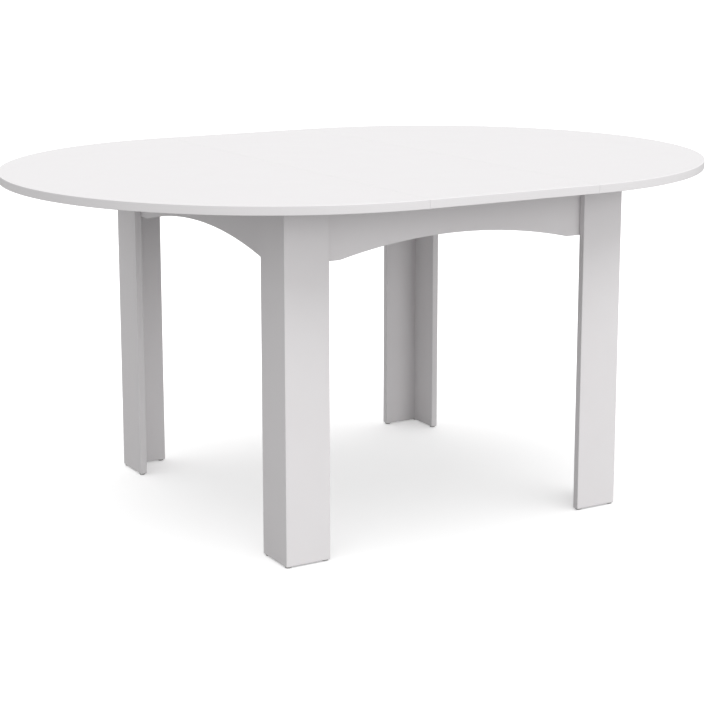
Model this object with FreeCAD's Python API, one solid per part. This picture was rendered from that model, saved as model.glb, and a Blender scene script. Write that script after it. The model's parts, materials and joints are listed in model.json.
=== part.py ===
"""Extending round table with its leaf in place, in millimetres.

Two D-shaped half tops slide apart on metal guide rails, and a loose leaf fills the gap between them.
The base is a square frame of four arched aprons with an L-shaped leg of two mitred boards at each corner.
The origin is on the floor under the middle of the table.  +X is the way the table extends, +Y the back.
"""
import FreeCAD
import Part
import math
import os

from FreeCAD import Vector

# Overall sizes
TABLE_HEIGHT = 750.0
TABLE_WIDTH = 1200.0            # also the diameter of the round ends
LEAF_WIDTH = 400.0              # how much longer the leaf makes the table
TOP_THICKNESS = 18.0
BASE_SIZE = 820.0               # over the outer faces of the legs, both ways

# Edges of the tops
RIM_BAND = 2.0                  # thickness of the edge band round the outside
RIM_ROUNDING = 1.2              # rounding of the band's outer edges
SEAM_BAND = 1.0                 # thickness of the edge band along the seams
SEAM_GAP = 0.4                  # between the leaf and each half top

# Boards of the base
BOARD = 16.0                    # thickness of the leg boards and aprons
LEG_BOARD_WIDTH = 100.0
LEG_EDGE_ROUNDING = 1.5
APRON_DEPTH = 121.5
ARCH_RISE = 32.5                # how far the middle of an apron's lower edge is above its ends
SHOULDER = 33.0                 # level stretch of the lower edge beside each leg
BASE_TO_TOP = 1.5               # between the base's upper edges and the underside of the tops

# Floor glides: nylon buttons nailed under the legs
GLIDE_DIAMETER = 14.0
GLIDE_HEIGHT = 3.0
GLIDE_INSET = 9.0               # from the end of a leg board to the middle of its glide
GLIDE_NAIL = 2.5
GLIDE_NAIL_LENGTH = 14.0

# Biscuits in the mitre of each leg
BISCUIT_LENGTH = 50.0
BISCUIT_WIDTH = 16.0
BISCUIT_THICKNESS = 4.0
BISCUIT_INSET = 5.0             # from the inner corner of the leg to the middle of the biscuit
BISCUIT_HEIGHTS = (120.0, 365.0, 560.0)

# Bolts that hold the leg boards to the aprons, two at each end of every apron
BOLT = 6.0
BOLT_LENGTH = 25.0
BOLT_HEAD = 10.0
BOLT_HEAD_HEIGHT = 6.0
BOLT_SOCKET = 5.0               # across the flats of the hexagon
BOLT_SOCKET_DEPTH = 3.0
BOLT_BRACE_GAP = 5.0            # between the washer and the brace in the corner
BOLT_UPPER_INSET = 25.5         # from the upper edge of the apron
BOLT_LOWER_INSET = 31.0         # from the lower edge of the apron
WASHER = 18.0
WASHER_THICKNESS = 1.6
INSERT = 10.0                   # threaded insert in the leg board
INSERT_LENGTH = 12.0

# Dowels at the corners of the apron frame
DOWEL = 8.0
DOWEL_LENGTH = 30.0
DOWEL_BLIND = 10.0              # how far it goes into the front or back apron
DOWEL_UPPER_INSET = 14.5        # from the upper edge of the apron
DOWEL_LOWER_INSET = 17.0        # from the lower edge of the apron

# Angle braces in the corners of the apron frame
BRACE_LEG = 24.0
BRACE_THICKNESS = 2.5
BRACE_LENGTH = 70.0
BRACE_DROP = 25.0
BRACE_SCREW_DROPS = (45.0, 75.0)
BRACE_SCREW_FROM_CORNER = 15.0

# Wood screws
SCREW = 4.0
SCREW_HEAD = 8.0
SCREW_HEAD_HEIGHT = 2.4
BRACE_SCREW_LENGTH = 13.0
TOP_SCREW_LENGTH = 15.0
CLEAT_SCREW_LENGTH = 28.0

# Guide rails: H-shaped aluminium profiles between the side aprons
RAIL_SPACING = 500.0            # between the middles of the two rails
RAIL_WIDTH = 28.0
RAIL_HEIGHT = 32.0
RAIL_WALL = 3.0
RAIL_DROP = 4.0                 # from the underside of the tops to the rail

# End brackets of the guide rails, which are also the stops of the slide bars
END_PLATE_WIDTH = 40.0
END_PLATE_DROP = 28.0           # how far the plate reaches below the rail
END_BRACKET = 3.0
END_LUG_LENGTH = 40.0
END_SCREW_SPREAD = 24.0
END_SCREW_DROP = 18.0
LUG_SCREW_SPREAD = 16.0
LUG_SCREW_FROM_PLATE = 22.0

# Slide bars, which run in the channels of the guide rails
BAR_WIDTH = 12.5
BAR_HEIGHT = 18.0
TRAVEL = 30.0                   # outward travel of a half top from the leaf to its stop
STOP_CLEARANCE = 0.3
BAR_END_SPARE = 5.0             # left at the inner end when the table is closed
SHOE_LENGTH = 30.0
SHOE_INSET = 5.0                # from the end of the bar to its glide shoe

# Angle brackets that carry the half tops on the slide bars
BRACKET_LENGTH = 30.0
BRACKET_THICKNESS = 3.0
BRACKET_FLANGE = 25.0
BRACKET_END_SPARE = 4.0         # from the outer end of the bar
BRACKET_SEAM_SPARE = 10.0       # from the straight edge of the half top
BRACKET_SCREW_SPREAD = 16.0
BAR_SCREW_LENGTH = 10.0

# Leaf
CLEAT_SECTION = 20.0
CLEAT_END_INSET = 50.0          # from the long edge of the leaf
CLEAT_SCREW_COUNT = 3
CLEAT_SCREW_INSET = 40.0        # from the end of the cleat

# Glide pads between the base and the tops
PAD = 10.0
PAD_STEM = 4.0
PAD_STEM_LENGTH = 8.0
RAIL_PAD = 16.0
RAIL_PAD_STEM = 6.0
RAIL_PAD_END_INSET = 45.0       # from the end of the guide rail
RAIL_PAD_SEAM_INSET = 130.0     # from the long edge of the leaf
APRON_PAD_PITCH = 150.0

# Clearances
RUNNING_GAP = 0.3               # glide shoe in the channel of the guide rail
RESTING_GAP = 0.1               # glide pad under a top
SIDE_GAP = 1.0                  # moving piece beside a fixed one
FASTENER_GAP = 0.05             # round a fastener in its hole
BOLT_HOLE_GAP = 0.4             # round a bolt in the apron
HOLE_SPARE = 0.5                # below the tip of a fastener in a blind hole

# Places worked out from the sizes above
UNDERSIDE = TABLE_HEIGHT - TOP_THICKNESS
BASE_TOP = UNDERSIDE - BASE_TO_TOP
BASE_HALF = BASE_SIZE / 2
FRAME_HALF = BASE_HALF - BOARD              # outer faces of the aprons
FRAME_INSIDE = FRAME_HALF - BOARD           # inner faces of the aprons
APRON_FOOT = BASE_TOP - APRON_DEPTH
END_RADIUS = TABLE_WIDTH / 2
SEAM = LEAF_WIDTH / 2 + SEAM_GAP / 2        # straight edge of a half top
RAIL_MIDDLE = RAIL_SPACING / 2
RAIL_TOP = UNDERSIDE - RAIL_DROP
RAIL_FOOT = RAIL_TOP - RAIL_HEIGHT
RAIL_END = FRAME_INSIDE - END_BRACKET
CHANNEL_SIDE = RAIL_WALL / 2
CHANNEL_FOOT = RAIL_FOOT + RAIL_WALL
CHANNEL_TOP = RAIL_TOP - RAIL_WALL
BAR_SIDE = CHANNEL_SIDE + SIDE_GAP
BAR_FACE = BAR_SIDE + BAR_WIDTH
BAR_FOOT = (CHANNEL_FOOT + CHANNEL_TOP - BAR_HEIGHT) / 2
BAR_OUTER_END = RAIL_END - STOP_CLEARANCE - TRAVEL
BAR_INNER_END = LEAF_WIDTH / 2 - (RAIL_END - BAR_END_SPARE)
BOLT_PLACE = FRAME_INSIDE - BRACE_LEG - BOLT_BRACE_GAP - WASHER / 2
BOLT_LEVELS = (BASE_TOP - BOLT_UPPER_INSET, APRON_FOOT + BOLT_LOWER_INSET)
DOWEL_LEVELS = (BASE_TOP - DOWEL_UPPER_INSET, APRON_FOOT + DOWEL_LOWER_INSET)

X = Vector(1, 0, 0)
Y = Vector(0, 1, 0)
Z = Vector(0, 0, 1)
ORIGIN = Vector(0, 0, 0)

# Mirror flips (in X, in Y) that carry the back right corner to each corner of the table
CORNERS = {
    "back_right": (False, False),
    "back_left": (True, False),
    "front_right": (False, True),
    "front_left": (True, True),
}


def box(x, y, z):
    """A box from three (low, high) pairs."""
    size = [high - low for low, high in (x, y, z)]
    return Part.makeBox(*size, Vector(x[0], y[0], z[0]))


def rod(start, direction, diameter, length):
    return Part.makeCylinder(diameter / 2, length, start, direction)


def hexagon(start, direction, across_flats, length):
    """A hexagonal prism that starts at a point and runs along a direction."""
    corner = across_flats / 2 / math.cos(math.pi / 6)
    turn = FreeCAD.Rotation(Z, direction)
    points = []
    for step in range(7):
        angle = math.radians(60 * step)
        flat = Vector(corner * math.cos(angle), corner * math.sin(angle), 0)
        points.append(start + turn.multVec(flat))
    return Part.Face(Part.makePolygon(points)).extrude(direction * length)


def flipped(shape, flips):
    """A copy mirrored in X, in Y, in both or in neither."""
    copy = shape.copy()
    for flip, normal in zip(flips, (X, Y)):
        if flip:
            copy = copy.mirror(ORIGIN, normal)
    return copy


def half_turned(shape):
    """A copy turned half round the table's vertical middle line."""
    copy = shape.copy()
    copy.rotate(ORIGIN, Z, 180)
    return copy


def at_corners(shapes):
    """Copies of the back right corner's shapes at all four corners."""
    return [flipped(shape, flips) for flips in CORNERS.values() for shape in shapes]


def drilled(shape, holes):
    """The shape without those of the holes that reach it."""
    near = [hole for hole in holes if hole.BoundBox.intersect(shape.BoundBox)]
    return shape.cut(near).Solids[0] if near else shape


def round_edges(shape, radius, wanted):
    edges = [edge for edge in shape.Edges if wanted(edge)]
    return shape.makeFillet(radius, edges)


def save(node, *shapes):
    shape = shapes[0] if len(shapes) == 1 else Part.makeCompound(list(shapes))
    shape.exportStep("parts/" + node + ".step")


def screw(seat, direction, diameter, length, head, head_height):
    """A pan-head screw with a cross recess.  Its head rests on seat, and its shank runs along direction."""
    cap = rod(seat - direction * head_height, direction, head, head_height)
    crown = cap.makeFillet(head_height * 0.6, [cap.Edges[edge_at(cap, seat - direction * head_height)]])
    solid = crown.fuse(rod(seat, direction, diameter, length)).removeSplitter()
    across = direction.cross(Z if abs(direction.z) < 0.5 else X)
    slot_length = head * 0.5
    slot_width = head * 0.12
    slot_depth = head_height * 0.5
    for side in (across, direction.cross(across)):
        slot = Part.makeBox(slot_length, slot_width, slot_depth, Vector(-slot_length / 2, -slot_width / 2, 0))
        slot.Placement = FreeCAD.Placement(seat - direction * head_height,
                                           FreeCAD.Rotation(side, direction.cross(side), direction, "XYZ"))
        solid = solid.cut(slot)
    return solid.Solids[0]


def edge_at(shape, point):
    """The number of the circular edge whose centre is at a point."""
    for number, edge in enumerate(shape.Edges):
        if hasattr(edge.Curve, "Center") and edge.Curve.Center.distanceToPoint(point) < 1e-6:
            return number
    raise ValueError("no circular edge at the point")


def hole(start, direction, diameter, length, gap=FASTENER_GAP):
    return rod(start, direction, diameter + 2 * gap, length)


# ---------------------------------------------------------------- tops

def top_outline(x, radius):
    """Plate of the tops' thickness: a disc of the right half top's round end, kept within x (low, high)."""
    disc = Part.makeCylinder(radius, TOP_THICKNESS, Vector(LEAF_WIDTH / 2, 0, UNDERSIDE), Z)
    return disc.common(box(x, (-2 * radius, 2 * radius), (UNDERSIDE, TABLE_HEIGHT)))


def right_half_top(screw_holes):
    """The right half top's panel, its curved rim band and its straight seam band."""
    seam_face = SEAM + SEAM_BAND
    far = SEAM + 2 * END_RADIUS
    panel = top_outline((seam_face, far), END_RADIUS - RIM_BAND)
    whole = top_outline((seam_face, far), END_RADIUS)
    rounded = round_edges(whole, RIM_ROUNDING, is_round_rim)
    rim = rounded.cut(top_outline((seam_face - 1, far), END_RADIUS - RIM_BAND))
    seam = top_outline((SEAM, seam_face), END_RADIUS)
    return drilled(panel.Solids[0], screw_holes), rim.Solids[0], seam.Solids[0]


def is_round_rim(edge):
    level = edge.BoundBox.ZLength < 1e-6
    return level and isinstance(edge.Curve, Part.Circle)


def leaf_panel(screw_holes):
    side = LEAF_WIDTH / 2 - SEAM_GAP / 2 - SEAM_BAND
    end = END_RADIUS - RIM_BAND
    return drilled(box((-side, side), (-end, end), (UNDERSIDE, TABLE_HEIGHT)), screw_holes)


def leaf_bands():
    """The leaf's two rim bands, at its ends, and its two seam bands, along its sides."""
    side = LEAF_WIDTH / 2 - SEAM_GAP / 2 - SEAM_BAND
    end = END_RADIUS - RIM_BAND
    rim = box((-side, side), (end, END_RADIUS), (UNDERSIDE, TABLE_HEIGHT))
    rim = round_edges(rim, RIM_ROUNDING, lambda edge: edge.BoundBox.YMin > END_RADIUS - 1e-6
                      and edge.BoundBox.XLength > side)
    seam = box((side, side + SEAM_BAND), (-END_RADIUS, END_RADIUS), (UNDERSIDE, TABLE_HEIGHT))
    return (rim, flipped(rim, (False, True))), (seam, flipped(seam, (True, False)))


# ---------------------------------------------------------------- base

def leg_board_along_x(holes):
    """The back board of the back right leg, mitred along its outer corner."""
    low = BASE_HALF - LEG_BOARD_WIDTH
    corners = (
        Vector(low, BASE_HALF, GLIDE_HEIGHT),
        Vector(BASE_HALF, BASE_HALF, GLIDE_HEIGHT),
        Vector(FRAME_HALF, FRAME_HALF, GLIDE_HEIGHT),
        Vector(low, FRAME_HALF, GLIDE_HEIGHT),
        Vector(low, BASE_HALF, GLIDE_HEIGHT),
    )
    board = Part.Face(Part.makePolygon(corners)).extrude(Z * (BASE_TOP - GLIDE_HEIGHT))
    free_edge = round_edges(board, LEG_EDGE_ROUNDING, lambda edge: edge.BoundBox.ZLength > LEG_BOARD_WIDTH
                            and edge.BoundBox.XMax < low + 1e-6)
    return drilled(free_edge, holes)


def leg_corner_rounding():
    """What the rounding takes off the outer corner of the back right leg."""
    side = LEG_EDGE_ROUNDING
    low = BASE_HALF - side
    z = (GLIDE_HEIGHT - 1, BASE_TOP + 1)
    block = box((low, BASE_HALF + 1), (low, BASE_HALF + 1), z)
    return block.cut(rod(Vector(low, low, z[0]), Z, 2 * side, z[1] - z[0]))


def swapped(shape):
    """A copy mirrored in the plane x = y, which turns a board along X into one along Y."""
    return shape.mirror(ORIGIN, Vector(1, -1, 0).normalize())


def apron_along_x(half_length, holes):
    """The back apron: its lower edge is level beside the legs and arched between them."""
    arch_half = BASE_HALF - LEG_BOARD_WIDTH - SHOULDER
    y = FRAME_INSIDE
    crown = Vector(0, y, APRON_FOOT + ARCH_RISE)
    left = Vector(-arch_half, y, APRON_FOOT)
    right = Vector(arch_half, y, APRON_FOOT)
    outline = Part.Wire([
        Part.makePolygon([left, Vector(-half_length, y, APRON_FOOT), Vector(-half_length, y, BASE_TOP),
                          Vector(half_length, y, BASE_TOP), Vector(half_length, y, APRON_FOOT), right]),
        Part.Arc(right, crown, left).toShape(),
    ])
    return drilled(Part.Face(outline).extrude(Y * BOARD), holes)


def floor_glides():
    """The back right leg's three glides, and the holes for their nails."""
    middle = BASE_HALF - BOARD / 2
    end = BASE_HALF - LEG_BOARD_WIDTH + GLIDE_INSET
    glides = []
    holes = []
    for x, y in ((middle, middle), (end, middle), (middle, end)):
        foot = rod(Vector(x, y, 0), Z, GLIDE_DIAMETER, GLIDE_HEIGHT)
        foot = foot.makeFillet(GLIDE_HEIGHT / 3, [foot.Edges[edge_at(foot, Vector(x, y, 0))]])
        top = Vector(x, y, GLIDE_HEIGHT)
        glides.append(foot.fuse(rod(top, Z, GLIDE_NAIL, GLIDE_NAIL_LENGTH)))
        holes.append(hole(top, Z, GLIDE_NAIL, GLIDE_NAIL_LENGTH + HOLE_SPARE))
    return glides, holes


def biscuits():
    """The back right leg's biscuits across its mitre, and their slots."""
    middle = FRAME_HALF + BISCUIT_INSET
    pieces = []
    slots = []
    for height in BISCUIT_HEIGHTS:
        for group, gap in ((pieces, 0), (slots, FASTENER_GAP)):
            size = (BISCUIT_WIDTH + 2 * gap, BISCUIT_THICKNESS + 2 * gap, BISCUIT_LENGTH + 2 * gap)
            block = Part.makeBox(*size, Vector(-size[0] / 2, -size[1] / 2, -size[2] / 2))
            block.rotate(ORIGIN, Z, -45)
            block.translate(Vector(middle, middle, height))
            group.append(block)
    return pieces, slots


def corner_bolts():
    """One bolt position set of the back right leg's back board: bolts, washers, inserts and their holes."""
    bolts, washers, inserts, holes = [], [], [], []
    for level in BOLT_LEVELS:
        inner = Vector(BOLT_PLACE, FRAME_INSIDE, level)
        seat = inner - Y * WASHER_THICKNESS
        shank = rod(seat, Y, BOLT, BOLT_LENGTH)
        head = rod(seat - Y * BOLT_HEAD_HEIGHT, Y, BOLT_HEAD, BOLT_HEAD_HEIGHT)
        socket = hexagon(seat - Y * BOLT_HEAD_HEIGHT, Y, BOLT_SOCKET, BOLT_SOCKET_DEPTH)
        bolts.append(head.fuse(shank).cut(socket))
        washers.append(rod(seat, Y, WASHER, WASHER_THICKNESS)
                       .cut(hole(seat, Y, BOLT, WASHER_THICKNESS, BOLT_HOLE_GAP)))
        mouth = inner + Y * BOARD
        inserts.append(rod(mouth, Y, INSERT, INSERT_LENGTH).cut(hole(mouth, Y, BOLT, INSERT_LENGTH)))
        holes.append(hole(inner - Y, Y, BOLT, BOARD + 1, BOLT_HOLE_GAP))
        holes.append(hole(mouth, Y, INSERT, INSERT_LENGTH + HOLE_SPARE))
    return bolts, washers, inserts, holes


def frame_dowels():
    """Dowels from the back apron into the end of the right apron, and their holes."""
    dowels = []
    holes = []
    for level in DOWEL_LEVELS:
        x = FRAME_INSIDE + BOARD / 2
        end = FRAME_INSIDE + DOWEL_BLIND
        dowels.append(rod(Vector(x, end, level), -Y, DOWEL, DOWEL_LENGTH))
        start = Vector(x, end + HOLE_SPARE, level)
        holes.append(hole(start, -Y, DOWEL, DOWEL_LENGTH + 2 * HOLE_SPARE))
    return dowels, holes


def corner_brace():
    """The back right corner's angle brace, its screws and their holes."""
    high = BASE_TOP - BRACE_DROP
    z = (high - BRACE_LENGTH, high)
    outer = (FRAME_INSIDE - BRACE_LEG, FRAME_INSIDE)
    inner = (FRAME_INSIDE - BRACE_LEG - 1, FRAME_INSIDE - BRACE_THICKNESS)
    brace = box(outer, outer, z).cut(box(inner, inner, z))
    place = FRAME_INSIDE - BRACE_SCREW_FROM_CORNER
    face = FRAME_INSIDE - BRACE_THICKNESS
    screws = []
    holes = []
    for drop in BRACE_SCREW_DROPS:
        level = BASE_TOP - drop
        for seat, direction in ((Vector(place, face, level), Y), (Vector(face, place, level), X)):
            screws.append(wood_screw(seat, direction, BRACE_SCREW_LENGTH))
            holes.append(hole(seat, direction, SCREW, BRACE_SCREW_LENGTH + HOLE_SPARE))
    return drilled(brace, holes), screws, holes


def wood_screw(seat, direction, length):
    return screw(seat, direction, SCREW, length, SCREW_HEAD, SCREW_HEAD_HEIGHT)


# ---------------------------------------------------------------- guide rails and slides

def guide_rail(holes):
    """The back guide rail: an H profile with a channel on each side."""
    x = (-RAIL_END, RAIL_END)
    y = (RAIL_MIDDLE - RAIL_WIDTH / 2, RAIL_MIDDLE + RAIL_WIDTH / 2)
    rail = box(x, y, (RAIL_FOOT, RAIL_TOP))
    for low, high in ((y[0] - 1, RAIL_MIDDLE - CHANNEL_SIDE), (RAIL_MIDDLE + CHANNEL_SIDE, y[1] + 1)):
        rail = rail.cut(box(x, (low, high), (CHANNEL_FOOT, CHANNEL_TOP)))
    return drilled(rail, holes)


def end_bracket():
    """The back rail's right end bracket, with the screws of its plate and its lug and their holes."""
    y = (RAIL_MIDDLE - END_PLATE_WIDTH / 2, RAIL_MIDDLE + END_PLATE_WIDTH / 2)
    plate = box((RAIL_END, FRAME_INSIDE), y, (RAIL_FOOT - END_PLATE_DROP, RAIL_TOP))
    lug = box((RAIL_END - END_LUG_LENGTH, RAIL_END), (RAIL_MIDDLE - RAIL_WIDTH / 2, RAIL_MIDDLE + RAIL_WIDTH / 2),
              (RAIL_FOOT - END_BRACKET, RAIL_FOOT))
    plate_screws, lug_screws, holes = [], [], []
    lug_screw_length = END_BRACKET + RAIL_WALL
    for side in (-1, 1):
        seat = Vector(RAIL_END, RAIL_MIDDLE + side * END_SCREW_SPREAD / 2, RAIL_FOOT - END_SCREW_DROP)
        plate_screws.append(wood_screw(seat, X, BRACE_SCREW_LENGTH))
        holes.append(hole(seat, X, SCREW, BRACE_SCREW_LENGTH + HOLE_SPARE))
        seat = Vector(RAIL_END - LUG_SCREW_FROM_PLATE, RAIL_MIDDLE + side * LUG_SCREW_SPREAD / 2,
                      RAIL_FOOT - END_BRACKET)
        lug_screws.append(wood_screw(seat, Z, lug_screw_length))
        holes.append(hole(seat, Z, SCREW, lug_screw_length))
    return drilled(plate.fuse(lug).removeSplitter().Solids[0], holes), plate_screws, lug_screws, holes


def rail_pads():
    """Glide pads let into the top of the back guide rail, and their holes."""
    pads = []
    holes = []
    outer = RAIL_END - RAIL_PAD_END_INSET
    inner = LEAF_WIDTH / 2 - RAIL_PAD_SEAM_INSET
    for x in (-outer, -inner, inner, outer):
        seat = Vector(x, RAIL_MIDDLE, RAIL_TOP)
        head = rod(seat, Z, RAIL_PAD, RAIL_DROP - RESTING_GAP)
        pads.append(head.fuse(rod(seat, -Z, RAIL_PAD_STEM, RAIL_WALL)))
        holes.append(hole(seat, -Z, RAIL_PAD_STEM, RAIL_WALL))
    return pads, holes


def apron_pads():
    """Glide pads let into the upper edge of the back apron, and their holes."""
    pads = []
    holes = []
    for x in (-APRON_PAD_PITCH, 0, APRON_PAD_PITCH):
        seat = Vector(x, FRAME_INSIDE + BOARD / 2, BASE_TOP)
        head = rod(seat, Z, PAD, BASE_TO_TOP - RESTING_GAP)
        pads.append(head.fuse(rod(seat, -Z, PAD_STEM, PAD_STEM_LENGTH)))
        holes.append(hole(seat, -Z, PAD_STEM, PAD_STEM_LENGTH + HOLE_SPARE))
    return pads, holes


def slide_bar(side):
    """A right half's bar in one channel of the back rail: side is 1 for the outer channel, -1 for the inner.

    Returns the bar, its glide shoes, its brackets, the bracket screws into the bar and into the top,
    and the holes of the top screws.
    """
    low = RAIL_MIDDLE + side * BAR_SIDE
    face = RAIL_MIDDLE + side * BAR_FACE
    section = (tuple(sorted((low, face))), (BAR_FOOT, BAR_FOOT + BAR_HEIGHT))
    bar = box((BAR_INNER_END, BAR_OUTER_END), *section)
    outward = Y * side

    shoes = []
    for start in (BAR_INNER_END + SHOE_INSET, BAR_OUTER_END - SHOE_INSET - SHOE_LENGTH):
        y = sorted((RAIL_MIDDLE + side * (CHANNEL_SIDE + RUNNING_GAP),
                    RAIL_MIDDLE + side * (RAIL_WIDTH / 2 - RUNNING_GAP)))
        shoe = box((start, start + SHOE_LENGTH), y, (CHANNEL_FOOT + RUNNING_GAP, CHANNEL_TOP - RUNNING_GAP))
        shoes.append(shoe.cut(bar).Solids[0])

    brackets, bar_screws, top_screws, holes = [], [], [], []
    for start in (SEAM + BRACKET_SEAM_SPARE, BAR_OUTER_END - BRACKET_END_SPARE - BRACKET_LENGTH):
        bracket, into_bar, into_top, bracket_holes = slide_bracket(start, face, outward)
        brackets.append(bracket)
        bar_screws += into_bar
        top_screws += into_top
        holes += bracket_holes
    return drilled(bar, holes), shoes, brackets, bar_screws, top_screws, holes


def slide_bracket(start, face, outward):
    """An angle bracket on the face of a slide bar, with its flange under the half top."""
    side = outward.y
    x = (start, start + BRACKET_LENGTH)
    leg_y = sorted((face, face + side * BRACKET_THICKNESS))
    flange_y = sorted((face, face + side * BRACKET_FLANGE))
    leg = box(x, leg_y, (BAR_FOOT, UNDERSIDE))
    flange = box(x, flange_y, (UNDERSIDE - BRACKET_THICKNESS, UNDERSIDE))
    bar_screws, top_screws, holes = [], [], []
    middle = start + BRACKET_LENGTH / 2
    for offset in (-BRACKET_SCREW_SPREAD / 2, BRACKET_SCREW_SPREAD / 2):
        seat = Vector(middle + offset, face + side * BRACKET_THICKNESS, BAR_FOOT + BAR_HEIGHT / 2)
        bar_screws.append(wood_screw(seat, -outward, BAR_SCREW_LENGTH))
        holes.append(hole(seat, -outward, SCREW, BAR_SCREW_LENGTH + HOLE_SPARE))
        flange_middle = face + side * (BRACKET_THICKNESS + BRACKET_FLANGE) / 2
        seat = Vector(middle + offset, flange_middle, UNDERSIDE - BRACKET_THICKNESS)
        top_screws.append(wood_screw(seat, Z, TOP_SCREW_LENGTH))
        holes.append(hole(seat, Z, SCREW, TOP_SCREW_LENGTH + HOLE_SPARE))
    bracket = leg.fuse(flange).removeSplitter().Solids[0]
    return drilled(bracket, holes), bar_screws, top_screws, holes


def leaf_cleat():
    """The leaf's back cleat, which keeps the leaf in place beside the back rail's inner slide bar."""
    high = RAIL_MIDDLE - BAR_FACE - SIDE_GAP
    half_length = LEAF_WIDTH / 2 - CLEAT_END_INSET
    foot = UNDERSIDE - CLEAT_SECTION
    cleat = box((-half_length, half_length), (high - CLEAT_SECTION, high), (foot, UNDERSIDE))
    reach = half_length - CLEAT_SCREW_INSET
    screws = []
    holes = []
    for number in range(CLEAT_SCREW_COUNT):
        x = -reach + 2 * reach * number / (CLEAT_SCREW_COUNT - 1)
        seat = Vector(x, high - CLEAT_SECTION / 2, foot)
        screws.append(wood_screw(seat, Z, CLEAT_SCREW_LENGTH))
        holes.append(hole(seat, Z, SCREW, CLEAT_SCREW_LENGTH + HOLE_SPARE))
    return drilled(cleat, holes), screws, holes


# ---------------------------------------------------------------- assembly

def build_base():
    glides, glide_holes = floor_glides()
    biscuit_pieces, biscuit_slots = biscuits()
    bolts, washers, inserts, bolt_holes = corner_bolts()
    for group in (bolts, washers, inserts, bolt_holes):
        group += [swapped(shape) for shape in group]
    dowels, dowel_holes = frame_dowels()
    brace, brace_screws, brace_holes = corner_brace()
    bracket, plate_screws, lug_screws, bracket_holes = end_bracket()
    pads, pad_holes = apron_pads()
    rail_pad_pieces, rail_pad_holes = rail_pads()

    leg_holes = glide_holes + biscuit_slots + bolt_holes + [leg_corner_rounding()]
    board_along_x = leg_board_along_x(leg_holes)
    board_along_y = swapped(leg_board_along_x([swapped(shape) for shape in leg_holes]))
    for corner, flips in CORNERS.items():
        end = corner.split("_")[0]
        save(corner + "_leg_" + end + "_board", flipped(board_along_x, flips))
        save(corner + "_leg_side_board", flipped(board_along_y, flips))
        save(corner + "_corner_brace", flipped(brace, flips))
        save(corner + "_rail_end_bracket", flipped(bracket, flips))

    frame_holes = at_corners(bolt_holes + dowel_holes + brace_holes + bracket_holes)
    back_holes = frame_holes + pad_holes
    back_apron = apron_along_x(FRAME_HALF, back_holes)
    right_holes = [swapped(shape) for shape in frame_holes] + pad_holes
    right_apron = swapped(apron_along_x(FRAME_INSIDE, right_holes))
    save("back_apron", back_apron)
    save("front_apron", flipped(back_apron, (False, True)))
    save("right_apron", right_apron)
    save("left_apron", flipped(right_apron, (True, False)))

    rail_holes = bracket_holes + [flipped(shape, (True, False)) for shape in bracket_holes] + rail_pad_holes
    rail = guide_rail(rail_holes)
    save("back_guide_rail", rail)
    save("front_guide_rail", flipped(rail, (False, True)))

    save("floor_glides", *at_corners(glides))
    save("leg_biscuits", *at_corners(biscuit_pieces))
    save("leg_bolts", *at_corners(bolts))
    save("leg_bolt_washers", *at_corners(washers))
    save("leg_threaded_inserts", *at_corners(inserts))
    save("apron_dowels", *at_corners(dowels))
    save("corner_brace_screws", *at_corners(brace_screws))
    save("end_bracket_wood_screws", *at_corners(plate_screws))
    save("end_bracket_rail_screws", *at_corners(lug_screws))

    long_pads = pads + [flipped(shape, (False, True)) for shape in pads]
    save("apron_glide_pads", *long_pads, *[swapped(shape) for shape in long_pads])
    save("rail_glide_pads", *rail_pad_pieces, *[flipped(shape, (False, True)) for shape in rail_pad_pieces])


def build_half_tops():
    """The right half runs in the back rail's outer channel and the front rail's inner channel.

    The left half is the right half turned half round.
    """
    far_bar, *far_fittings = slide_bar(1)
    near_bar, *near_fittings = [flipped_items(item, (False, True)) for item in slide_bar(-1)]
    fittings = [far + near for far, near in zip(far_fittings, near_fittings)]
    shoes, brackets, bar_screws, top_screws, holes = fittings
    panel, rim, seam = right_half_top(holes)
    for half, far_end, near_end in (("right", "back", "front"), ("left", "front", "back")):
        pieces = {
            "top_panel": [panel],
            "top_rim_band": [rim],
            "top_seam_band": [seam],
            far_end + "_slide_bar": [far_bar],
            near_end + "_slide_bar": [near_bar],
            "slide_bar_shoes": shoes,
            "slide_brackets": brackets,
            "bracket_bar_screws": bar_screws,
            "bracket_top_screws": top_screws,
        }
        for name, shapes in pieces.items():
            if half == "left":
                shapes = [half_turned(shape) for shape in shapes]
            save(half + "_" + name, *shapes)


def flipped_items(item, flips):
    """A shape, or each shape of a list, mirrored."""
    if isinstance(item, list):
        return [flipped(shape, flips) for shape in item]
    return flipped(item, flips)


def build_leaf():
    cleat, screws, holes = leaf_cleat()
    front = (False, True)
    panel = leaf_panel(holes + flipped_items(holes, front))
    rim_bands, seam_bands = leaf_bands()
    save("leaf_panel", panel)
    save("leaf_rim_bands", *rim_bands)
    save("leaf_seam_bands", *seam_bands)
    save("leaf_back_cleat", cleat)
    save("leaf_front_cleat", flipped(cleat, front))
    save("leaf_cleat_screws", *screws, *flipped_items(screws, front))


os.makedirs("parts", exist_ok=True)
build_base()
build_half_tops()
build_leaf()
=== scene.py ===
# %% [markdown]
# # A round table that extends
# A round dining table is drawn apart to an oval, and a loose leaf fills the gap between its two D-shaped
# half tops.  The base is a square frame of arched aprons with an L-shaped leg at each corner.  Under the top,
# slide bars run in aluminium guide rails.
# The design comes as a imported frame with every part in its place.  This lesson gives each part that shows a
# finished shape, with soft arrises and real edge bands, and gives every part its finish.

# %% Load the frame
import json
import math

import bmesh
import bpy
from mathutils import Matrix, Vector


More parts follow.
